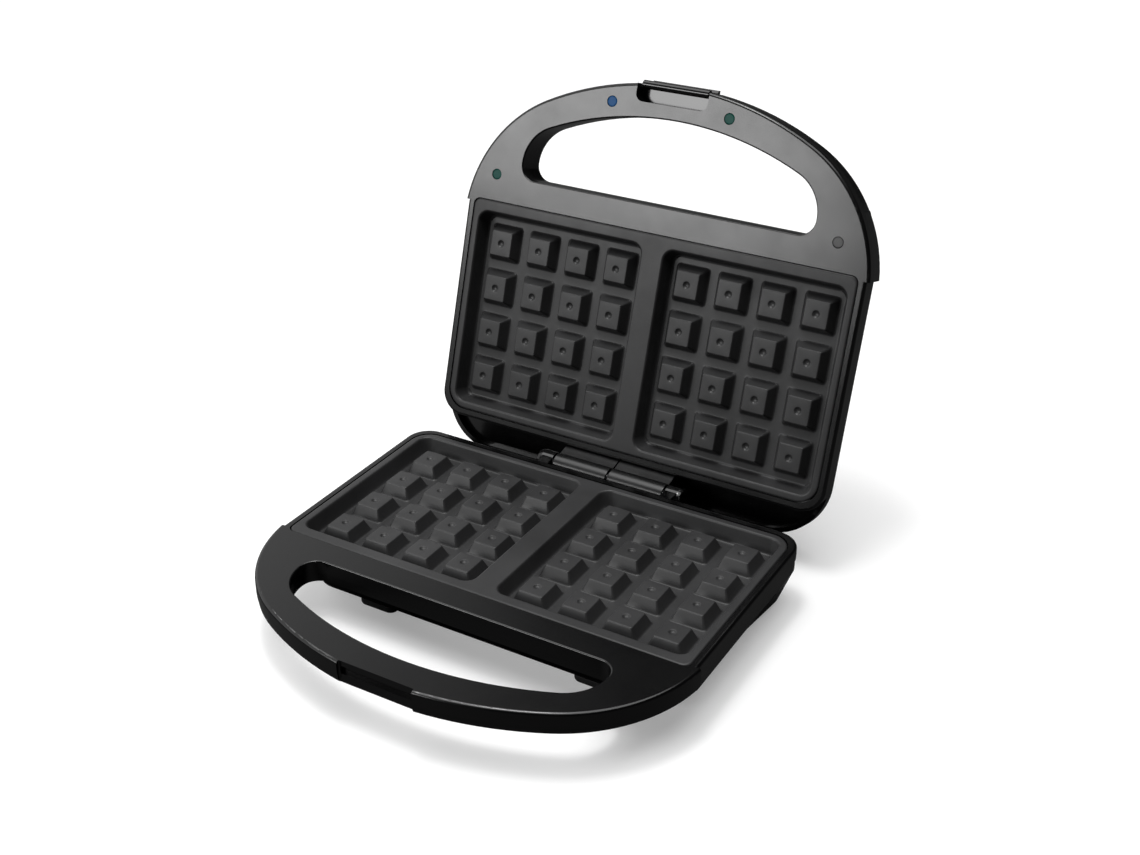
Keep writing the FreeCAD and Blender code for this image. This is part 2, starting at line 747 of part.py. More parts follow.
def terminal_block():
    """Screw-clamp block where the mains lead meets the wiring, with three clamp holes."""
    block = box(bushing_x - block_half_x, bushing_x + block_half_x, block_y - block_half_y,
                block_y + block_half_y, shell_bottom_z + wall, reflector_z - block_gap)
    clamps = [rod_z(clamp_radius, bushing_x + step * clamp_pitch, block_y,
                    reflector_z - block_gap - clamp_depth, reflector_z) for step in (-1, 0, 1)]
    return block.cut(Part.makeCompound(clamps))


def cord_bushing():
    """Grommet in the rear wall, where the mains lead would leave."""
    start = Vector(bushing_x, body_rear_y - bushing_length, bushing_z)
    face = Vector(bushing_x, body_rear_y - seam_step, bushing_z)
    lip = Vector(bushing_x, body_rear_y + bushing_lip, bushing_z)
    body = rod(bushing_radius, start, lip).fuse(rod(bushing_flange_radius, face, lip))
    return body.cut(rod(bushing_bore_radius, start - Vector(0, 1, 0), lip + Vector(0, 1, 0)))


def base_wires():
    """Leads from the terminal block to the thermostat, the fuse and the element's ends."""
    start_y = block_y - block_half_y
    tab_end_x = tab_x + tab_half[0]
    low = low_lead_z
    turn_x = inner_column_x + 35.0
    turn_y = heater_end_y - 14.0
    fuse_end_x = fuse_x + fuse_length + fuse_lead_length
    live_x = bushing_x - clamp_pitch
    live = [(live_x, start_y, low), (live_x, thermostat_y, low), (tab_end_x, thermostat_y, low)]
    switched = [(-tab_end_x, thermostat_y, low), (-30.0, thermostat_y, low), (-30.0, heater_end_y, low),
                (-inner_column_x, heater_end_y, low)]
    fused = [(bushing_x, start_y, lead_z), (bushing_x, turn_y, lead_z), (turn_x, turn_y, lead_z),
             (turn_x, heater_end_y, lead_z), (fuse_end_x, heater_end_y, lead_z)]
    return Part.makeCompound([route_tube(live, wire_bend, wire_radius),
                              route_tube(switched, wire_bend, wire_radius),
                              route_tube(fused, wire_tight_bend, wire_radius)])


# ---------------------------------------------------------------- hinge
def hinge_screw_rods(radius):
    rods = []
    for side in (-1, 1):
        x = side * (knuckle_start_x + knuckle_length / 2.0)
        rods.append(rod(radius, Vector(x, body_rear_y - 6.0, hinge_screw_z),
                        Vector(x, body_rear_y + hinge_screw_proud, hinge_screw_z)))
    return rods


def hinge_screws():
    """Screws through the rear wall into the brackets, heads inside."""
    screws = []
    inside_y = body_rear_y - wall - seam_step
    for side in (-1, 1):
        x = side * (knuckle_start_x + knuckle_length / 2.0)
        head = rod(screw_head_radius, Vector(x, inside_y - screw_head_height, hinge_screw_z),
                   Vector(x, inside_y, hinge_screw_z))
        shank = rod(screw_radius, Vector(x, inside_y - 0.5, hinge_screw_z),
                    Vector(x, body_rear_y + hinge_screw_proud, hinge_screw_z))
        screws.append(head.fuse(shank).removeSplitter())
    return Part.makeCompound(screws)


def hinge_bracket():
    """Right-hand knuckle bracket on the base, with a domed outer end."""
    x0 = knuckle_start_x
    x1 = knuckle_start_x + knuckle_length
    step_y = body_rear_y - seam_step
    arm = profile_x([(step_y, band_z + 0.3), (step_y, seam_z), (body_rear_y, seam_z),
                     (body_rear_y, rim_z - 1.5), (hinge_y, hinge_z + barrel_radius - 0.4),
                     (hinge_y, hinge_z - barrel_radius + 0.3)], x0, x1)
    knuckle = rod_x(barrel_radius, x0, x1, hinge_y, hinge_z)
    dome = Part.makeSphere(barrel_radius, Vector(x1, hinge_y, hinge_z), Vector(1, 0, 0), 0, 90, 360)
    dome = dome.common(box(x1, x1 + 3.2, hinge_y - 9.0, hinge_y + 9.0, hinge_z - 9.0, hinge_z + 9.0))
    bore = rod_x(pin_radius, x0 - 1.0, x1 - 1.0, hinge_y, hinge_z)
    screw = hinge_screw_rods(screw_radius)[1]
    return merge([arm, knuckle, dome]).cut(bore).cut(screw)


def hinge_barrel():
    """Right-hand half of the lid's barrel, with the web that joins it to the lid, drawn shut."""
    lid_face_z = rim_z + closing_gap
    lid_seam_z = 2.0 * parting_z - seam_z
    step_y = body_rear_y - seam_step
    web = profile_x([(body_rear_y, lid_face_z + 2.0), (body_rear_y, lid_seam_z), (step_y, lid_seam_z),
                     (step_y, lid_seam_z + web_rise), (hinge_y + 2.0, lid_seam_z + 2.0),
                     (hinge_y + barrel_radius - 0.2, hinge_z + 1.0), (hinge_y, hinge_z),
                     (hinge_y - barrel_radius + 0.4, hinge_z + 2.0)], barrel_split, barrel_half_length)
    barrel = rod_x(barrel_radius, barrel_split, barrel_half_length, hinge_y, hinge_z)
    barrel = barrel.makeFillet(0.5, [edge for edge in barrel.Edges
                                     if abs(edge.BoundBox.XMax - edge.BoundBox.XMin) < 1e-4])
    bore = rod_x(pin_bore_radius, -1.0, barrel_half_length + 1.0, hinge_y, hinge_z)
    return merge([web, barrel]).cut(bore)


def hinge_pin():
    half = knuckle_start_x + knuckle_length - 1.2
    tube = rod_x(pin_radius, -half, half, hinge_y, hinge_z)
    return tube.cut(rod_x(pin_tube_radius, -half - 1.0, half + 1.0, hinge_y, hinge_z))


def hinge_leads():
    """Two leads that pass from base to lid along the hollow pin."""
    half = knuckle_start_x + 2.0
    return Part.makeCompound([rod_x(lead_radius, -half, half, hinge_y + side * lead_half_gap, hinge_z)
                              for side in (-1, 1)])


# ---------------------------------------------------------------- lid-only parts, drawn as a base half
def lens_places():
    places = [blue_lens] + list(green_lenses) + [grey_plug]
    return [(x, front_row_y - y) for x, y in places]


def lid_case():
    recess_y = handle_front_y + recess_depth
    upper, lower, screws = fitted_case(body_half_x, handle_half_x, lid_handle_bottom_z,
                                       recess_y, lid_overhang, case_screw_places(lid_case_screws))
    recess = pocket_prism(recess_y, recess_corner_radius, rim_z - recess_back, rim_z + 1.0)
    channel = pocket_prism(latch_wall_y, channel_corner_radius, lid_handle_bottom_z - 1.0, rim_z + 1.0)
    lens_holes = [rod_z(lens_radius, x, y, rim_z - lens_hole_depth, rim_z + 1.0)
                  for x, y in lens_places()]
    upper = upper.cut(recess).cut(channel).cut(Part.makeCompound(lens_holes + [latch_pin()]))
    lower = lower.cut(recess).cut(channel)
    return upper, lower, screws


def lens(place):
    """Low domed lens, its flange hidden behind the handle face."""
    x, y = place
    top_z = rim_z - lens_sink
    body = rod_z(lens_radius, x, y, rim_z - lens_depth, top_z)
    return body.makeFillet(lens_edge_radius, edges_at_height(body, top_z))


def lamps():
    """Small lamps behind the three coloured lenses."""
    bodies = []
    for x, y in lens_places()[:3]:
        top_z = rim_z - lens_depth - lamp_gap
        bodies.append(rod_z(lamp_radius, x, y, top_z - lamp_length, top_z))
    return Part.makeCompound(bodies)


def latch_pin():
    half = recess_half_x + handle_wall
    return rod_x(latch_pin_radius, latch_x - half, latch_x + half, latch_axis_y,
                 rim_z - latch_axis_height)


def latch_clip():
    """Clip folded back along the handle's edge: round barrel, flat plate and a hooked tip."""
    axis_z = rim_z - latch_axis_height
    tip_z = axis_z - latch_reach
    x0 = latch_x - latch_half_x
    x1 = latch_x + latch_half_x
    outer_y = latch_axis_y - latch_plate / 2
    hook_y = outer_y - latch_hook
    hook_z = tip_z + latch_hook_height
    barrel = rod_x(latch_barrel_radius, x0, x1, latch_axis_y, axis_z)
    plate = box(x0, x1, outer_y, latch_axis_y + latch_plate / 2, tip_z, axis_z)
    hook = profile_x([(hook_y, tip_z), (latch_axis_y, tip_z), (latch_axis_y, hook_z),
                      (outer_y, hook_z), (hook_y, tip_z + latch_plate)], x0, x1)
    bore = rod_x(latch_bore_radius, x0 - 1.0, x1 + 1.0, latch_axis_y, axis_z)
    return merge([barrel, plate, hook]).cut(bore)


def lid_wires():
    """Leads from the hinge side to the element's end and the fuse, inside the lid's body."""
    rear_y = back_row_y + 14.0
    low = low_lead_z
    left = [(-12.0, rear_y, low), (-30.0, rear_y, low), (-30.0, heater_end_y, low),
            (-inner_column_x, heater_end_y, low)]
    right = [(12.0, rear_y, low), (34.0, rear_y, low), (34.0, heater_end_y + 6.0, low)]
    return Part.makeCompound([route_tube(points, wire_bend, wire_radius) for points in (left, right)])


# ---------------------------------------------------------------- every node
def all_nodes():
    base_bezel, base_shell, base_screws = base_case()
    lid_bezel, lid_shell, lid_screws = lid_case()
    lenses = [lens(place) for place in lens_places()]
    barrel = hinge_barrel()
    bracket = hinge_bracket()
    nodes = {
        "base_shell": base_shell,
        "base_bezel": base_bezel,
        "base_case_screws": base_screws,
        "lower_waffle_plate": waffle_plate(),
        "lower_heating_element": heater(),
        "lower_reflector": reflector(),
        "lower_plate_screws": plate_screws(),
        "rubber_feet": rubber_feet(),
        "thermostat": thermostat(),
        "terminal_block": terminal_block(),
        "cord_bushing": cord_bushing(),
        "base_wires": base_wires(),
        "base_thermal_fuse": thermal_fuse(),
        "hinge_bracket_right": bracket,
        "hinge_bracket_left": mirrored_in_x(bracket),
        "hinge_screws": hinge_screws(),
        "hinge_pin": hinge_pin(),
        "hinge_leads": hinge_leads(),
        "hinge_barrel_right": swing_open(barrel),
        "hinge_barrel_left": swing_open(mirrored_in_x(barrel)),
        "lid_shell": lid_half(lid_shell),
        "lid_bezel": lid_half(lid_bezel),
        "lid_case_screws": lid_half(lid_screws),
        "upper_waffle_plate": lid_half(waffle_plate()),
        "upper_heating_element": lid_half(heater()),
        "upper_reflector": lid_half(reflector()),
        "upper_plate_screws": lid_half(plate_screws()),
        "lid_thermal_fuse": lid_half(thermal_fuse()),
        "lid_wires": lid_half(lid_wires()),
        "blue_indicator_lens": lid_half(lenses[0]),
        "green_indicator_lenses": lid_half(Part.makeCompound(lenses[1:3])),
        "grey_screw_plug": lid_half(lenses[3]),
        "indicator_lamps": lid_half(lamps()),
        "latch_pin": lid_half(latch_pin()),
        "latch_clip": lid_half(latch_clip()),
    }
    return nodes


os.makedirs("parts", exist_ok=True)
for name, shape in all_nodes().items():
    shape.exportStep("parts/" + name + ".step")
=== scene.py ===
import json
import math

import bmesh
import bpy
from mathutils import Matrix, Vector

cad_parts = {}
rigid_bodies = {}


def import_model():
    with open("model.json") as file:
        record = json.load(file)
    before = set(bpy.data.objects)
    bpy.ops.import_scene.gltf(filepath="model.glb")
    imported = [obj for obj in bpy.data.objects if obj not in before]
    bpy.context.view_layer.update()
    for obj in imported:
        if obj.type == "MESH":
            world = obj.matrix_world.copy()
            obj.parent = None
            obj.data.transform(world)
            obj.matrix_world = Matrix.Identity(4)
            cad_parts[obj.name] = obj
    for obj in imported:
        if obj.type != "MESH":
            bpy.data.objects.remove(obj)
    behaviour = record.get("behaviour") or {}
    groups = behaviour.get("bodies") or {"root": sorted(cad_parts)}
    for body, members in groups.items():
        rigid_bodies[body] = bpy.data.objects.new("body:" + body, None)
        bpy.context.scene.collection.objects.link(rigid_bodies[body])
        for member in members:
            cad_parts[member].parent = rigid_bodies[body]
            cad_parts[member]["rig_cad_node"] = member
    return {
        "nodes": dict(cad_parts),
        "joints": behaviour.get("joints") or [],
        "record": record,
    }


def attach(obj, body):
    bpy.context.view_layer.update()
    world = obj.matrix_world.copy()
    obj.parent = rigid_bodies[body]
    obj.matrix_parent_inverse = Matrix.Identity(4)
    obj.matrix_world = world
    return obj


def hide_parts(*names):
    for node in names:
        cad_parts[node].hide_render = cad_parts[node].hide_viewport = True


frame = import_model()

# Looks of a two-slice waffle maker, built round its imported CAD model.
# Scene sizes are in metres, and MM turns millimetres into metres.
# The two plates are drawn afresh, and the parts in ROUNDING are CAD meshes with rounded edges.
# Everything else, lenses and hinge barrels included, stays as the CAD node and gets its finish.

for stray in [o for o in bpy.data.objects if "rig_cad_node" not in o and not o.name.startswith("body:")]:
    bpy.data.objects.remove(stray)
bpy.context.view_layer.update()

MM = 0.001
NODES = frame["nodes"]

# ------------------------------------------------------------------ waffle plate, in mm
# drawn as the lower one; the upper plate is its mirror image
PITCH = (23.5, 24.5)
GRID = 4
FRONT_ROW_Y = -45.9
INNER_COLUMN_X = 20.5
RIM_Z = 32.5
PARTING_Z = 33.0
STUD_TOP_Z = 30.0
FLOOR_Z = 23.8
LEDGE_Z = 30.0
PAN_BOTTOM_Z = 20.8
POCKET = (6.2, 105.6, -62.1, 43.8)      # x and y limits of the right pocket's lip
PLATE = (109.6, -68.2, 47.8)            # half width, front and rear
PAN_INSET = 3.0
DRAFT = 2.2
STUD_ROOT = (9.0, 9.5)                  # half sizes
STUD_TOP = (6.3, 6.7)
WALL_FOOT = 1.5                         # flat floor left between the wall's foot and the first cell
LAND_DEPTH = 0.3                        # faces above this depth under the rim get the land's finish
SIDE_STEPS = (0.0, 0.45, 0.8, 0.92, 1.0)
CIRCLE = 32


def corner_points(a, b, radius):
    """Eight points from (a, 0) round a rounded corner to just short of (0, b)."""
    points = [(a, 0.0), (a, 0.5 * (b - radius)), (a, b - radius)]
    for angle in (22.5, 45.0, 67.5):
        turn = math.radians(angle)
        points.append((a - radius + radius * math.cos(turn), b - radius + radius * math.sin(turn)))
    return points + [(a - radius, b), (0.5 * (a - radius), b)]


def square_points(a, b):
    """Eight points from (a, 0) round a sharp corner to just short of (0, b), at set shares of each side."""
    up = [(a, share * b) for share in SIDE_STEPS]
    return up + [(share * a, b) for share in SIDE_STEPS[-2:0:-1]]


def four_corners(centre, sides, make):
    """A closed ring about centre. sides is the reach to +x, +y, -x and -y; make draws one quarter."""
    x, y = centre
    right, top, left, bottom = sides
    ring = [(x + p, y + q) for p, q in make(right, top)]
    ring += [(x - q, y + p) for p, q in make(top, left)]
    ring += [(x - p, y - q) for p, q in make(left, bottom)]
    return ring + [(x + q, y - p) for p, q in make(bottom, right)]


def rounded_ring(centre, half, radius):
    sides = (half[0], half[1], half[0], half[1])
    return four_corners(centre, sides, lambda a, b: corner_points(a, b, radius))


def circle_ring(centre, radius):
    steps = [2 * math.pi * i / CIRCLE for i in range(CIRCLE)]
    return [(centre[0] + radius * math.cos(t), centre[1] + radius * math.sin(t)) for t in steps]


def rounded_box(x0, x1, y0, y1, radii, steps=10, along=24):
    """Closed loop of a rectangle with its corner radii in the order -x-y, +x-y, +x+y, -x+y."""
    places = [(x0, y0, 180), (x1, y0, 270), (x1, y1, 0), (x0, y1, 90)]
    loop = []
    for (x, y, start), radius in zip(places, radii):
        cx = x + radius if x == x0 else x - radius
        cy = y + radius if y == y0 else y - radius
        for i in range(steps + 1):
            turn = math.radians(start + 90 * i / steps)
            loop.append((cx + radius * math.cos(turn), cy + radius * math.sin(turn)))
    full = []
    for i, p in enumerate(loop):
        q = loop[(i + 1) % len(loop)]
        parts = along if math.dist(p, q) > 20 else 1
        full += [(p[0] + (q[0] - p[0]) * k / parts, p[1] + (q[1] - p[1]) * k / parts) for k in range(parts)]
    return full


def add_ring(bm, points, z):
    return [bm.verts.new((x * MM, y * MM, z * MM)) for x, y in points]


def bridge(bm, lower, upper):
    for i in range(len(lower)):
        j = (i + 1) % len(lower)
        bm.faces.new((lower[i], lower[j], upper[j], upper[i]))


def stack(bm, levels):
    """Rings of equal length joined one after the other; gives the first and last ring's vertices."""
    rings = [add_ring(bm, points, z) for points, z in levels]
    for lower, upper in zip(rings, rings[1:]):
        bridge(bm, lower, upper)
    return rings[0], rings[-1]


def loop_edges(bm, loop):
    pairs = [(loop[i], loop[(i + 1) % len(loop)]) for i in range(len(loop))]
    return [bm.edges.get(pair) or bm.edges.new(pair) for pair in pairs]


def fill(bm, *loops):
    """Flat face between loops at one height."""
    edges = [edge for loop in loops for edge in loop_edges(bm, loop)]
    bmesh.ops.triangle_fill(bm, use_beauty=True, use_dissolve=False, edges=edges)


def add_stud(bm, centre, cell):
    """One cell of the grid: channel, tapered stud with rounded edges, and the dimple in its top."""
    x, y = centre
    x0, x1, y0, y1 = cell
    height = STUD_TOP_Z - FLOOR_Z

    def side(z, grow, radius):
        share = (z - FLOOR_Z) / height
        half = [root + (top - root) * share + grow for root, top in zip(STUD_ROOT, STUD_TOP)]
        return rounded_ring(centre, half, radius), z

    levels = [(four_corners(centre, (x1 - x, y1 - y, x - x0, y - y0), square_points), FLOOR_Z),
              side(FLOOR_Z, 0.75, 1.9),
              (side(FLOOR_Z + 0.1, 0.42, 1.75)[0], FLOOR_Z + 0.07),
              (side(FLOOR_Z + 0.3, 0.2, 1.6)[0], FLOOR_Z + 0.27),
              (side(FLOOR_Z + 0.7, 0.0, 1.5)[0], FLOOR_Z + 0.7),
              side(FLOOR_Z + 3.2, 0.0, 1.1),
              side(STUD_TOP_Z - 0.5, 0.0, 0.8),
              side(STUD_TOP_Z - 0.22, -0.04, 0.75),
              side(STUD_TOP_Z - 0.06, -0.16, 0.65),
              side(STUD_TOP_Z, -0.42, 0.5),
              (circle_ring(centre, 3.2), STUD_TOP_Z),
              (circle_ring(centre, 2.15), STUD_TOP_Z),
              (circle_ring(centre, 1.95), STUD_TOP_Z - 0.05),
              (circle_ring(centre, 1.78), STUD_TOP_Z - 0.2),
              (circle_ring(centre, 1.3), STUD_TOP_Z - 0.72),
              (circle_ring(centre, 0.7), STUD_TOP_Z - 0.92)]
    _, top = stack(bm, levels)
    middle = bm.verts.new((x * MM, y * MM, (STUD_TOP_Z - 0.96) * MM))
    for i in range(CIRCLE):
        bm.faces.new((top[i], top[(i + 1) % CIRCLE], middle))


def grid_lines(centres, low, high):
    middles = [(a + b) / 2 for a, b in zip(centres, centres[1:])]
    return [low] + middles + [high]


def add_pocket(bm, side):
    """Studs, floor and wall of one pocket; gives the loop of its lip."""
    x0, x1, y0, y1 = POCKET
    clear = DRAFT + WALL_FOOT
    xs = [INNER_COLUMN_X + i * PITCH[0] for i in range(GRID)]
    ys = [FRONT_ROW_Y + i * PITCH[1] for i in range(GRID)]
    lines_x = grid_lines(xs, x0 + clear, x1 - clear)
    lines_y = grid_lines(ys, y0 + clear, y1 - clear)
    before = set(bm.verts)
    for i, x in enumerate(xs):
        for j, y in enumerate(ys):
            add_stud(bm, (x, y), (lines_x[i], lines_x[i + 1], lines_y[j], lines_y[j + 1]))
    grid = [v for v in bm.verts if v not in before]
    bmesh.ops.remove_doubles(bm, verts=grid, dist=0.004 * MM)
    rim = [e for e in bm.edges if e.is_boundary and e.verts[0] not in before
           and abs(e.verts[0].co.z - FLOOR_Z * MM) < 1e-6 and abs(e.verts[1].co.z - FLOOR_Z * MM) < 1e-6]

    def wall(inset, radius, z):
        return rounded_box(x0 + inset, x1 - inset, y0 + inset, y1 - inset, (radius,) * 4), z

    slope = DRAFT / (RIM_Z - FLOOR_Z)
    levels = [wall(DRAFT + 1.1, 3.8, FLOOR_Z), wall(DRAFT + 0.5, 4.2, FLOOR_Z + 0.14),
              wall(DRAFT + 0.1, 4.5, FLOOR_Z + 0.55), wall(DRAFT - 1.3 * slope, 4.7, FLOOR_Z + 1.3),
              wall(0.5 * DRAFT, 5.4, (FLOOR_Z + RIM_Z) / 2), wall(1.1 * slope, 5.9, RIM_Z - 1.1),
              wall(0.1, 6.0, RIM_Z - 0.6), wall(-0.15, 6.1, RIM_Z - 0.22), wall(-0.5, 6.3, RIM_Z - 0.04),
              wall(-0.85, 6.5, RIM_Z)]
    floor, lip = stack(bm, levels)
    bmesh.ops.triangle_fill(bm, use_beauty=True, use_dissolve=False, edges=rim + loop_edges(bm, floor))
    if side < 0:
        for v in bm.verts:
            if v not in before:
                v.co.x = -v.co.x
    return lip


def plate_mesh(name):
    """Whole plate as a closed mesh."""
    bm = bmesh.new()
    lips = [add_pocket(bm, side) for side in (-1, 1)]
    half_x, front, rear = PLATE

    def outline(inset, z, front_radius=4.0, rear_radius=11.0):
        radii = (front_radius - 0.5 * inset,) * 2 + (rear_radius - inset,) * 2
        return rounded_box(inset - half_x, half_x - inset, front + inset, rear - inset, radii), z

    levels = [outline(1.1, RIM_Z), outline(0.6, RIM_Z - 0.06), outline(0.2, RIM_Z - 0.3),
              outline(0.0, RIM_Z - 0.8),
              outline(0.0, LEDGE_Z + 0.3), outline(0.3, LEDGE_Z), outline(PAN_INSET, LEDGE_Z),
              outline(PAN_INSET, PAN_BOTTOM_Z + 1.2), outline(PAN_INSET + 0.4, PAN_BOTTOM_Z + 0.3),
              outline(PAN_INSET + 1.2, PAN_BOTTOM_Z)]
    top, bottom = stack(bm, levels)
    fill(bm, top, *lips)
    fill(bm, bottom)
    bmesh.ops.recalc_face_normals(bm, faces=bm.faces)
    land = (RIM_Z - LAND_DEPTH) * MM
    for face in bm.faces:
        if min(v.co.z for v in face.verts) > land:
            face.material_index = 1
    mesh = bpy.data.meshes.new(name)
    bm.to_mesh(mesh)
    bm.free()
    return mesh


# ------------------------------------------------------------------ other mouldings
def rounded_copy(node, width, segments=2, sharp=28.0):
    """The CAD mesh of a node as one clean mesh, with its sharp edges rounded by width mm."""
    bm = bmesh.new()
    bm.from_mesh(NODES[node].data)
    bmesh.ops.remove_doubles(bm, verts=bm.verts, dist=0.003 * MM)
    bmesh.ops.dissolve_degenerate(bm, edges=bm.edges, dist=0.001 * MM)
    bmesh.ops.dissolve_limit(bm, angle_limit=math.radians(0.6), verts=bm.verts, edges=bm.edges)
    edges = [e for e in bm.edges if len(e.link_faces) == 2 and e.calc_face_angle(0.0) > math.radians(sharp)]
    bmesh.ops.bevel(bm, geom=edges, offset=width * MM, offset_type="OFFSET", segments=segments, profile=0.5,
                    affect="EDGES", clamp_overlap=False)
    bmesh.ops.remove_doubles(bm, verts=bm.verts, dist=0.001 * MM)
    mesh = bpy.data.meshes.new(node + "_rounded")
    bm.to_mesh(mesh)
    bm.free()
    return mesh


def place(name, mesh, body, node, *finishes):
    """A new piece that stands for one CAD node."""
    for polygon in mesh.polygons:
        polygon.use_smooth = True
    piece = bpy.data.objects.new(name, mesh)
    bpy.context.scene.collection.objects.link(piece)
    mesh.materials.clear()
    for finish in finishes:
        mesh.materials.append(finish)
    normals = piece.modifiers.new("weighted_normals", "WEIGHTED_NORMAL")
    normals.weight = 80
    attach(piece, body)
    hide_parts(node)
    return piece


# ------------------------------------------------------------------ materials
def surface(name, colour, roughness, grain=0.0, grain_size=0.35, wave=0.0, speckle=None, smudge=0.05,
            metallic=0.0, specular=0.5):
    """Moulded or cast finish. grain is the depth of the fine texture in mm and grain_size its width in mm."""
    material = bpy.data.materials.new(name)
    material.use_nodes = True
    nodes, links = material.node_tree.nodes, material.node_tree.links
    shader = nodes["Principled BSDF"]
    shader.inputs["Metallic"].default_value = metallic
    shader.inputs["Specular IOR Level"].default_value = specular
    place_at = nodes.new("ShaderNodeTexCoord").outputs["Object"]

    def noise(size_mm, detail=3.0, rough=0.55):
        texture = nodes.new("ShaderNodeTexNoise")
        texture.inputs["Scale"].default_value = 1000.0 / size_mm
        texture.inputs["Detail"].default_value = detail
        texture.inputs["Roughness"].default_value = rough
        links.new(place_at, texture.inputs["Vector"])
        return texture.outputs["Fac"]

    def ramp(value, low, high, to_low, to_high):
        node = nodes.new("ShaderNodeMapRange")
        for key, number in (("From Min", low), ("From Max", high), ("To Min", to_low), ("To Max", to_high)):
            node.inputs[key].default_value = number
        links.new(value, node.inputs["Value"])
        return node.outputs["Result"]

    def mix(factor, first, second):
        node = nodes.new("ShaderNodeMix")
        node.data_type = "RGBA"
        links.new(factor, node.inputs["Factor"])
        for socket, value in ((node.inputs["A"], first), (node.inputs["B"], second)):
            if isinstance(value, tuple):
                socket.default_value = value + (1.0,)
            else:
                links.new(value, socket)
        return node.outputs["Result"]

    darker = tuple(0.75 * c for c in colour)
    lighter = tuple(min(1.0, 1.2 * c) for c in colour)
    tone = mix(ramp(noise(38.0), 0.3, 0.7, 0.0, 1.0), darker, lighter)
    if speckle:
        tone = mix(ramp(noise(0.55, 2.0), 0.62, 0.74, 0.0, 0.55), tone, speckle)
    links.new(tone, shader.inputs["Base Color"])
    links.new(ramp(noise(26.0, 5.0, 0.65), 0.3, 0.7, roughness - smudge, roughness + smudge),
              shader.inputs["Roughness"])
    height = None
    for depth, size in ((grain, grain_size), (wave, 24.0)):
        if depth:
            bump = nodes.new("ShaderNodeBump")
            bump.inputs["Strength"].default_value = 1.0
            bump.inputs["Distance"].default_value = depth * MM
            links.new(noise(size, 2.0), bump.inputs["Height"])
            if height:
                links.new(height, bump.inputs["Normal"])
            height = bump.outputs["Normal"]
    if height:
        links.new(height, shader.inputs["Normal"])
    return material


BASE_SATIN = surface("base_satin_black", (0.0015, 0.0015, 0.0016), 0.19, grain=0.0012,
                     grain_size=0.45, smudge=0.03)
LID_SATIN = surface("lid_satin_charcoal", (0.003, 0.003, 0.0031), 0.24, grain=0.002,
                    grain_size=0.45, smudge=0.03)
GLOSS = surface("gloss_black", (0.0012, 0.0012, 0.0013), 0.13, smudge=0.03)
HINGE_SATIN = surface("hinge_satin", (0.002, 0.002, 0.0021), 0.3)
NONSTICK = surface("nonstick_coating", (0.028, 0.028, 0.0285), 0.38, grain=0.008, grain_size=0.7,
                   speckle=(0.05, 0.05, 0.051), smudge=0.05, specular=0.28)
LAND = surface("plate_land_coating", (0.007, 0.007, 0.0071), 0.27, grain=0.005, grain_size=0.7, smudge=0.04,
               specular=0.16)
RUBBER = surface("black_rubber", (0.012, 0.012, 0.012), 0.75, grain=0.02, grain_size=0.6)
STEEL = surface("pin_steel", (0.55, 0.55, 0.56), 0.3, grain=0.004, grain_size=0.3, metallic=1.0)
ZINC = surface("zinc_screw", (0.5, 0.5, 0.48), 0.38, grain=0.006, grain_size=0.4, metallic=1.0)
REFLECTOR = surface("aluminised_sheet", (0.6, 0.6, 0.6), 0.3, grain=0.01, grain_size=1.5, metallic=1.0)
ELEMENT = surface("element_sheath", (0.16, 0.15, 0.14), 0.5, grain=0.015, grain_size=0.8, metallic=1.0)
CERAMIC = surface("terminal_ceramic", (0.7, 0.68, 0.62), 0.5, grain=0.02, grain_size=0.8)
SLEEVE = surface("wire_sleeve", (0.42, 0.4, 0.36), 0.6, grain=0.03, grain_size=0.7)
LAMP = surface("lamp_glass", (0.7, 0.45, 0.3), 0.12, grain=0.002)
BLUE = surface("blue_lens", (0.001, 0.055, 0.17), 0.2, wave=0.01, specular=0.06)
GREEN = surface("green_lens", (0.001, 0.065, 0.05), 0.2, wave=0.01, specular=0.06)
PLUG = surface("grey_plug", (0.045, 0.045, 0.045), 0.45, grain=0.01, grain_size=0.5)

MATERIALS = {
    "base_bezel": BASE_SATIN, "lid_bezel": LID_SATIN, "base_shell": GLOSS, "lid_shell": GLOSS,
    "base_case_screws": ZINC, "lid_case_screws": ZINC, "lower_plate_screws": ZINC, "upper_plate_screws": ZINC,
    "hinge_screws": ZINC, "lower_waffle_plate": NONSTICK, "upper_waffle_plate": NONSTICK,
    "lower_heating_element": ELEMENT, "upper_heating_element": ELEMENT, "lower_reflector": REFLECTOR,
    "upper_reflector": REFLECTOR, "rubber_feet": RUBBER, "cord_bushing": RUBBER, "thermostat": REFLECTOR,
    "terminal_block": CERAMIC, "base_wires": SLEEVE, "lid_wires": SLEEVE, "hinge_leads": SLEEVE,
    "base_thermal_fuse": REFLECTOR, "lid_thermal_fuse": REFLECTOR, "hinge_bracket_right": GLOSS,
    "hinge_bracket_left": GLOSS, "hinge_barrel_right": HINGE_SATIN, "hinge_barrel_left": HINGE_SATIN,
    "hinge_pin": STEEL, "latch_pin": STEEL, "latch_clip": GLOSS, "blue_indicator_lens": BLUE,
    "green_indicator_lenses": GREEN,
    "grey_screw_plug": PLUG, "indicator_lamps": LAMP,
}
BODY_OF = {node: body for body, members in frame["record"]["behaviour"]["bodies"].items() for node in members}
for node, material in MATERIALS.items():
    for slot in NODES[node].material_slots:
        slot.material = material

# ------------------------------------------------------------------ the visible pieces
hinge = next(joint for joint in frame["joints"] if joint["name"] == "lid_hinge")
hinge_at = Matrix.Translation(Vector(hinge["pos_m"]))
swing = Matrix.Rotation(-math.radians(hinge["range_deg"][1]), 4, "X")
mirror = Matrix.Translation((0, 0, 2 * PARTING_Z * MM)) @ Matrix.Diagonal((1, 1, -1, 1))
LID_FROM_HALF = hinge_at @ swing @ hinge_at.inverted() @ mirror

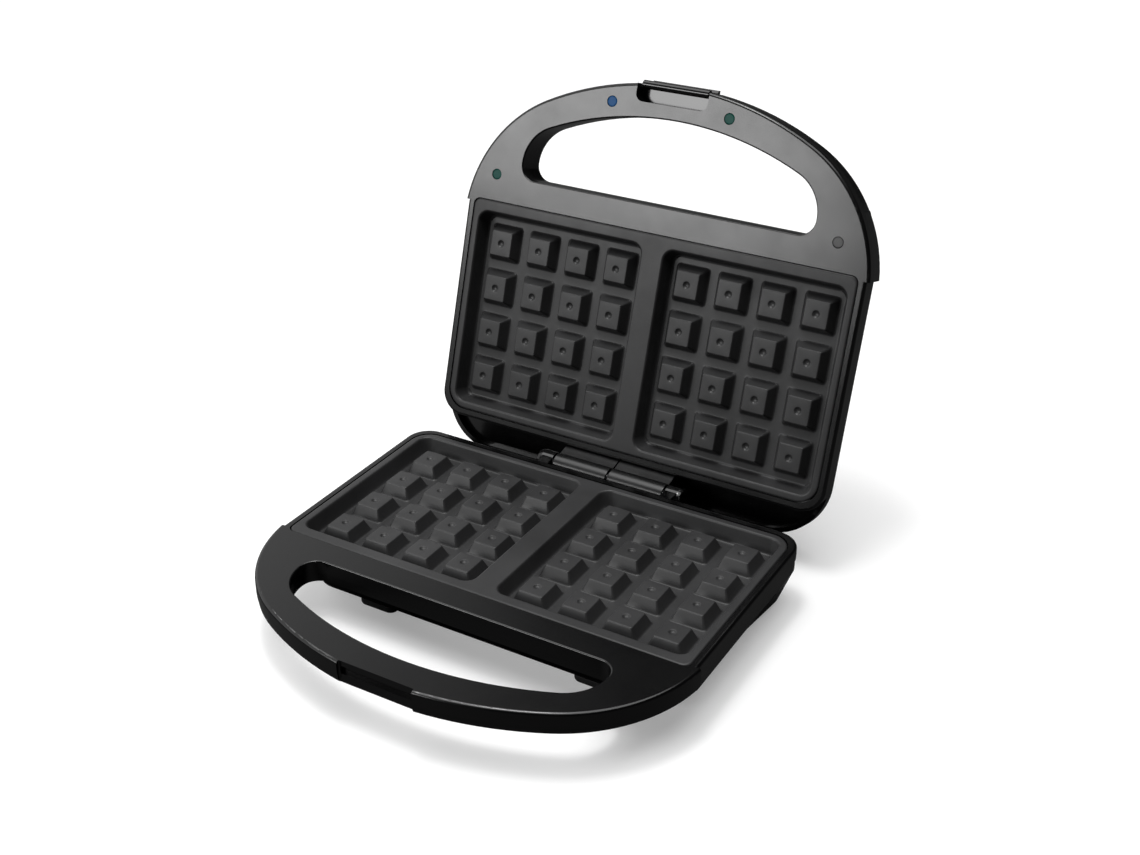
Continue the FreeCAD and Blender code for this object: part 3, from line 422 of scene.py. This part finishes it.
lower = plate_mesh("lower_plate_mesh")
upper = lower.copy()
upper.transform(LID_FROM_HALF)
upper.flip_normals()
place("lower_plate_detailed", lower, "base", "lower_waffle_plate", NONSTICK, LAND)
place("upper_plate_detailed", upper, "lid", "upper_waffle_plate", NONSTICK, LAND)

ROUNDING = {"hinge_bracket_right": 0.5, "hinge_bracket_left": 0.5, "latch_clip": 0.3,
            "rubber_feet": 0.6, "cord_bushing": 0.3, "base_case_screws": 0.25, "lid_case_screws": 0.25}
for node, width in ROUNDING.items():
    place(node + "_rounded", rounded_copy(node, width), BODY_OF[node], node, MATERIALS[node])

# ------------------------------------------------------------------ floor, light and camera
FLOOR_SEEN = 0.72
FLOOR_GLOW = 0.30
FLOOR_MIRRORED = 0.06
ROOM_DARK = 0.02
ROOM_BRIGHT = 0.95
ROOM_TURNS_AT = (-0.30, -0.72)          # x of the direction where the room starts and stops brightening
OVERHEAD_LEVEL = 2.5
OVERHEAD_SPREAD = math.radians(64.0)
OVERHEAD_DIRECTION = (0.05, -0.05, -1.0)
floor_mesh = bpy.data.meshes.new("floor")
floor_mesh.from_pydata([(-6, -6, 0), (6, -6, 0), (6, 6, 0), (-6, 6, 0)], [], [(0, 1, 2, 3)])
floor = bpy.data.objects.new("floor", floor_mesh)
bpy.context.scene.collection.objects.link(floor)
floor.location.z = -0.0001


def two_way(tree, seen, unseen, out_socket):
    """Joins the shader that the camera sees directly and the one that everything else receives."""
    path = tree.nodes.new("ShaderNodeLightPath")
    mixer = tree.nodes.new("ShaderNodeMixShader")
    tree.links.new(path.outputs["Is Camera Ray"], mixer.inputs["Fac"])
    tree.links.new(unseen, mixer.inputs[1])
    tree.links.new(seen, mixer.inputs[2])
    tree.links.new(mixer.outputs[0], out_socket)


# The camera sees a white sweep. Reflections and bounced light get a dim grey room instead.
paper = bpy.data.materials.new("white_paper")
paper.use_nodes = True
paper.node_tree.nodes.clear()
paper_out = paper.node_tree.nodes.new("ShaderNodeOutputMaterial")
tones = []
for level in (FLOOR_SEEN, FLOOR_MIRRORED):
    diffuse = paper.node_tree.nodes.new("ShaderNodeBsdfDiffuse")
    diffuse.inputs["Color"].default_value = (level, level, level, 1.0)
    tones.append(diffuse.outputs[0])
glow = paper.node_tree.nodes.new("ShaderNodeEmission")
glow.inputs["Strength"].default_value = FLOOR_GLOW
lit = paper.node_tree.nodes.new("ShaderNodeAddShader")
paper.node_tree.links.new(tones[0], lit.inputs[0])
paper.node_tree.links.new(glow.outputs[0], lit.inputs[1])
two_way(paper.node_tree, lit.outputs[0], tones[1], paper_out.inputs["Surface"])
floor_mesh.materials.append(paper)

world = bpy.data.worlds.new("studio")
world.use_nodes = True
world.node_tree.nodes.clear()
world_out = world.node_tree.nodes.new("ShaderNodeOutputWorld")
rooms = []
for level in (1.0, 0.0):
    background = world.node_tree.nodes.new("ShaderNodeBackground")
    background.inputs["Color"].default_value = (1.0, 1.0, 1.0, 1.0)
    background.inputs["Strength"].default_value = level
    rooms.append(background)
direction = world.node_tree.nodes.new("ShaderNodeTexCoord")
across = world.node_tree.nodes.new("ShaderNodeSeparateXYZ")
brightness = world.node_tree.nodes.new("ShaderNodeMapRange")
brightness.interpolation_type = "SMOOTHSTEP"
for key, number in (("From Min", ROOM_TURNS_AT[0]), ("From Max", ROOM_TURNS_AT[1]),
                    ("To Min", ROOM_DARK), ("To Max", ROOM_BRIGHT)):
    brightness.inputs[key].default_value = number
world.node_tree.links.new(direction.outputs["Generated"], across.inputs["Vector"])
world.node_tree.links.new(across.outputs["X"], brightness.inputs["Value"])
world.node_tree.links.new(brightness.outputs["Result"], rooms[1].inputs["Strength"])
two_way(world.node_tree, rooms[0].outputs[0], rooms[1].outputs[0], world_out.inputs["Surface"])
bpy.context.scene.world = world

sun_data = bpy.data.lights.new("overhead", "SUN")
sun_data.energy = OVERHEAD_LEVEL
sun_data.angle = OVERHEAD_SPREAD
sun = bpy.data.objects.new("overhead", sun_data)
bpy.context.scene.collection.objects.link(sun)
sun.rotation_euler = Vector(OVERHEAD_DIRECTION).to_track_quat("-Z", "Y").to_euler()


def softbox(name, place_at, towards, size, power):
    lamp = bpy.data.lights.new(name, "AREA")
    lamp.shape = "RECTANGLE"
    lamp.size, lamp.size_y = size
    lamp.energy = power
    holder = bpy.data.objects.new(name, lamp)
    bpy.context.scene.collection.objects.link(holder)
    holder.location = place_at
    holder.rotation_euler = (Vector(towards) - Vector(place_at)).to_track_quat("-Z", "Y").to_euler()


softbox("front_left_softbox", (-0.58, -1.0, 0.50), (0.0, 0.1, 0.17), (0.62, 0.34), 6.2)
softbox("overhead_softbox", (-0.1, -0.05, 1.2), (0.0, 0.0, 0.0), (0.3, 0.2), 4.2)

CAMERA_AT = (0.33302, -0.55274, 0.44037)
CAMERA_AZIMUTH = math.radians(30.2)
CAMERA_ELEVATION = math.radians(28.7)
CAMERA_SENSOR = 36.0                    # mm
CAMERA_LENS = 48.756                    # mm
camera_data = bpy.data.cameras.new("camera")
camera_data.sensor_width = CAMERA_SENSOR
camera_data.lens = CAMERA_LENS
camera_data.clip_start = 0.05
camera = bpy.data.objects.new("camera", camera_data)
bpy.context.scene.collection.objects.link(camera)
camera.location = CAMERA_AT
forward = Vector((-math.sin(CAMERA_AZIMUTH) * math.cos(CAMERA_ELEVATION),
                  math.cos(CAMERA_AZIMUTH) * math.cos(CAMERA_ELEVATION), -math.sin(CAMERA_ELEVATION)))
camera.rotation_euler = forward.to_track_quat("-Z", "Y").to_euler()
bpy.context.scene.camera = camera
bpy.context.scene.view_settings.view_transform = "Standard"
